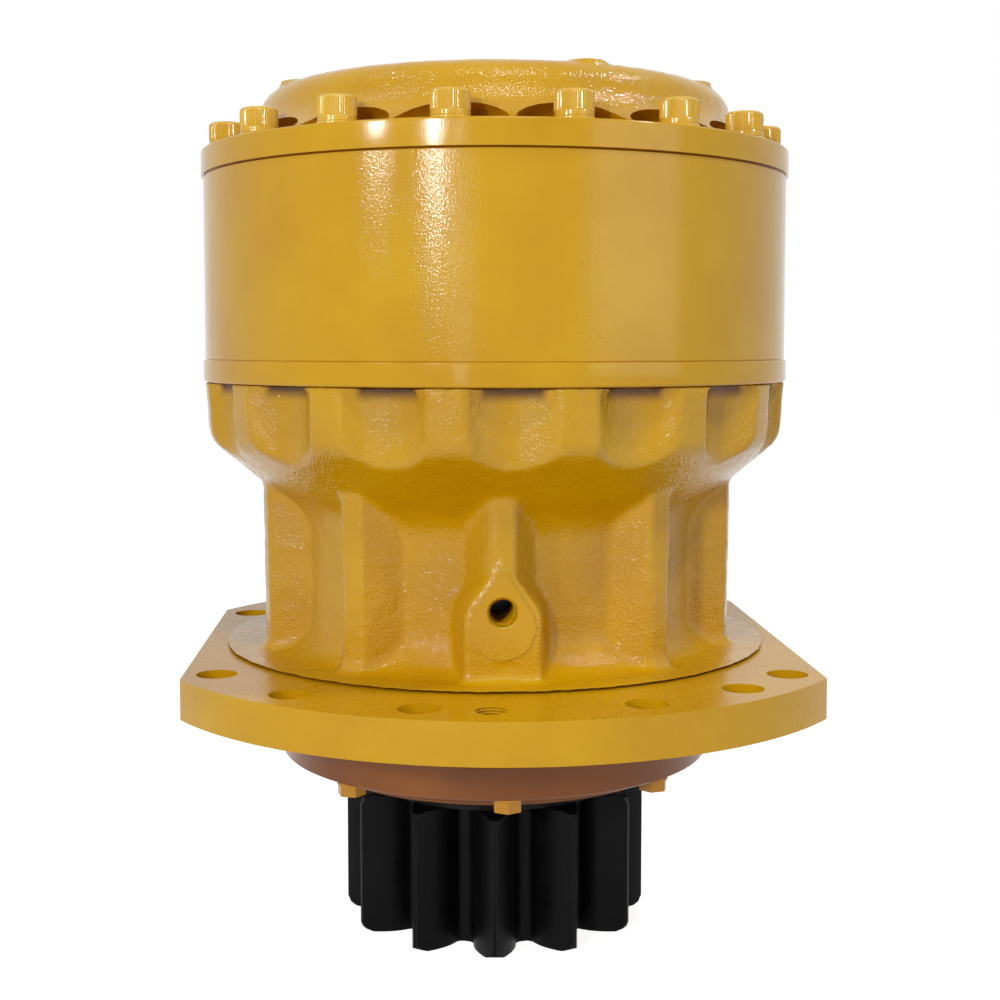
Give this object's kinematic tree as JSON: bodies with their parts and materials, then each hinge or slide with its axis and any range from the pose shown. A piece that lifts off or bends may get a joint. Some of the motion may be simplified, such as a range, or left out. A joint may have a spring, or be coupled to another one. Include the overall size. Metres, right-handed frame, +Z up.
{
  "type": "excavator swing gearbox",
  "caption": "Upright two stage planetary swing reducer: flanged cast housing with a ribbed neck, ring gear, domed cover for a motor, and a large output pinion below.",
  "frame": {"origin": "centre of the spigot where it meets the underside of the mounting flange, on the output shaft's axis", "axes": "+Z up along the output shaft towards the motor, -Y towards the front with the oil port, +X to the right seen from the front"},
  "size_m": [0.4072, 0.4846, 0.5798],
  "materials": {
    "yellow_paint": "thick gloss enamel",
    "forged_steel": "dark oiled forging",
    "bearing_steel": "ground",
    "gear_steel": "ground",
    "carrier_iron": "machined casting",
    "bronze": "machined",
    "rubber": "matte"
  },
  "bodies": {
    "housing": {"gear_housing": "yellow_paint", "ring_gear": "yellow_paint", "top_cover": "yellow_paint", "cover_screws": "yellow_paint", "cover_washers": "yellow_paint", "dowel_pins": "bearing_steel", "housing_o_ring": "rubber", "cover_o_ring": "rubber", "retainer_o_ring": "rubber", "seal_retainer": "yellow_paint", "retainer_screws": "yellow_paint", "retainer_washers": "yellow_paint", "oil_seal": "rubber", "lower_bearing_cup": "bearing_steel", "upper_bearing_cup": "bearing_steel"},
    "output_shaft": {"pinion_shaft": "forged_steel", "seal_sleeve": "bearing_steel", "lower_bearing_cone": "bearing_steel", "bearing_spacer": "bearing_steel", "upper_bearing_cone": "bearing_steel", "lock_washer": "bearing_steel", "lock_nut": "bearing_steel", "output_carrier": "carrier_iron", "output_planet_pins": "bearing_steel", "output_thrust_washers": "bronze", "carrier_end_plate": "bearing_steel", "end_plate_screws": "forged_steel", "carrier_thrust_ring": "bronze"},
    "lower_roller_set": {"lower_bearing_rollers": "bearing_steel", "lower_bearing_cage": "bronze"},
    "upper_roller_set": {"upper_bearing_rollers": "bearing_steel", "upper_bearing_cage": "bronze"},
    "input_stage": {"output_sun_gear": "gear_steel", "input_carrier": "carrier_iron", "input_planet_pins": "bearing_steel", "input_thrust_washers": "bronze", "sun_thrust_washer": "bronze"},
    "motor_sun": {"input_sun_gear": "gear_steel"},
    "output_planet_body_1": {"output_planet_1": "gear_steel"},
    "output_roller_set_1": {"output_planet_rollers_1": "bearing_steel"},
    "output_planet_body_2": {"output_planet_2": "gear_steel"},
    "output_roller_set_2": {"output_planet_rollers_2": "bearing_steel"},
    "output_planet_body_3": {"output_planet_3": "gear_steel"},
    "output_roller_set_3": {"output_planet_rollers_3": "bearing_steel"},
    "output_planet_body_4": {"output_planet_4": "gear_steel"},
    "output_roller_set_4": {"output_planet_rollers_4": "bearing_steel"},
    "input_planet_body_1": {"input_planet_1": "gear_steel"},
    "input_roller_set_1": {"input_planet_rollers_1": "bearing_steel"},
    "input_planet_body_2": {"input_planet_2": "gear_steel"},
    "input_roller_set_2": {"input_planet_rollers_2": "bearing_steel"},
    "input_planet_body_3": {"input_planet_3": "gear_steel"},
    "input_roller_set_3": {"input_planet_rollers_3": "bearing_steel"}
  },
  "joints": [
    {"name": "output_spin", "type": "hinge", "parent": "housing", "child": "output_shaft", "pos_m": [0, 0, 0], "axis": [0, 0, 1], "continuous": true},
    {"name": "lower_roller_orbit", "type": "hinge", "parent": "housing", "child": "lower_roller_set", "pos_m": [0, 0, 0.002], "axis": [0, 0, 1], "continuous": true},
    {"name": "upper_roller_orbit", "type": "hinge", "parent": "housing", "child": "upper_roller_set", "pos_m": [0, 0, 0.129], "axis": [0, 0, 1], "continuous": true},
    {"name": "input_stage_spin", "type": "hinge", "parent": "housing", "child": "input_stage", "pos_m": [0, 0, 0.301], "axis": [0, 0, 1], "continuous": true},
    {"name": "motor_sun_spin", "type": "hinge", "parent": "housing", "child": "motor_sun", "pos_m": [0, 0, 0.34], "axis": [0, 0, 1], "continuous": true},
    {"name": "output_planet_spin_1", "type": "hinge", "parent": "output_shaft", "child": "output_planet_body_1", "pos_m": [0.105, 0, 0.254], "axis": [0, 0, 1], "continuous": true},
    {"name": "output_roller_orbit_1", "type": "hinge", "parent": "output_shaft", "child": "output_roller_set_1", "pos_m": [0.105, 0, 0.254], "axis": [0, 0, 1], "continuous": true},
    {"name": "output_planet_spin_2", "type": "hinge", "parent": "output_shaft", "child": "output_planet_body_2", "pos_m": [0, 0.105, 0.254], "axis": [0, 0, 1], "continuous": true},
    {"name": "output_roller_orbit_2", "type": "hinge", "parent": "output_shaft", "child": "output_roller_set_2", "pos_m": [0, 0.105, 0.254], "axis": [0, 0, 1], "continuous": true},
    {"name": "output_planet_spin_3", "type": "hinge", "parent": "output_shaft", "child": "output_planet_body_3", "pos_m": [-0.105, 0, 0.254], "axis": [0, 0, 1], "continuous": true},
    {"name": "output_roller_orbit_3", "type": "hinge", "parent": "output_shaft", "child": "output_roller_set_3", "pos_m": [-0.105, 0, 0.254], "axis": [0, 0, 1], "continuous": true},
    {"name": "output_planet_spin_4", "type": "hinge", "parent": "output_shaft", "child": "output_planet_body_4", "pos_m": [0, -0.105, 0.254], "axis": [0, 0, 1], "continuous": true},
    {"name": "output_roller_orbit_4", "type": "hinge", "parent": "output_shaft", "child": "output_roller_set_4", "pos_m": [0, -0.105, 0.254], "axis": [0, 0, 1], "continuous": true},
    {"name": "input_planet_spin_1", "type": "hinge", "parent": "input_stage", "child": "input_planet_body_1", "pos_m": [0.0975, 0, 0.3229], "axis": [0, 0, 1], "continuous": true},
    {"name": "input_roller_orbit_1", "type": "hinge", "parent": "input_stage", "child": "input_roller_set_1", "pos_m": [0.0975, 0, 0.3229], "axis": [0, 0, 1], "continuous": true},
    {"name": "input_planet_spin_2", "type": "hinge", "parent": "input_stage", "child": "input_planet_body_2", "pos_m": [-0.04875, 0.08444, 0.3229], "axis": [0, 0, 1], "continuous": true},
    {"name": "input_roller_orbit_2", "type": "hinge", "parent": "input_stage", "child": "input_roller_set_2", "pos_m": [-0.04875, 0.08444, 0.3229], "axis": [0, 0, 1], "continuous": true},
    {"name": "input_planet_spin_3", "type": "hinge", "parent": "input_stage", "child": "input_planet_body_3", "pos_m": [-0.04875, -0.08444, 0.3229], "axis": [0, 0, 1], "continuous": true},
    {"name": "input_roller_orbit_3", "type": "hinge", "parent": "input_stage", "child": "input_roller_set_3", "pos_m": [-0.04875, -0.08444, 0.3229], "axis": [0, 0, 1], "continuous": true}
  ],
  "couplings": [
    {"joint": "lower_roller_orbit", "follows": "output_spin", "ratio": 0.4432},
    {"joint": "upper_roller_orbit", "follows": "output_spin", "ratio": 0.44562},
    {"joint": "input_stage_spin", "follows": "output_spin", "ratio": 4},
    {"joint": "motor_sun_spin", "follows": "output_spin", "ratio": 20.8},
    {"joint": "output_planet_spin_1", "follows": "output_spin", "ratio": -3},
    {"joint": "output_roller_orbit_1", "follows": "output_spin", "ratio": -1.7976},
    {"joint": "output_planet_spin_2", "follows": "output_spin", "ratio": -3},
    {"joint": "output_roller_orbit_2", "follows": "output_spin", "ratio": -1.7976},
    {"joint": "output_planet_spin_3", "follows": "output_spin", "ratio": -3},
    {"joint": "output_roller_orbit_3", "follows": "output_spin", "ratio": -1.7976},
    {"joint": "output_planet_spin_4", "follows": "output_spin", "ratio": -3},
    {"joint": "output_roller_orbit_4", "follows": "output_spin", "ratio": -1.7976},
    {"joint": "input_planet_spin_1", "follows": "output_spin", "ratio": -10.5},
    {"joint": "input_roller_orbit_1", "follows": "output_spin", "ratio": -6.3661},
    {"joint": "input_planet_spin_2", "follows": "output_spin", "ratio": -10.5},
    {"joint": "input_roller_orbit_2", "follows": "output_spin", "ratio": -6.3661},
    {"joint": "input_planet_spin_3", "follows": "output_spin", "ratio": -10.5},
    {"joint": "input_roller_orbit_3", "follows": "output_spin", "ratio": -6.3661}
  ]
}
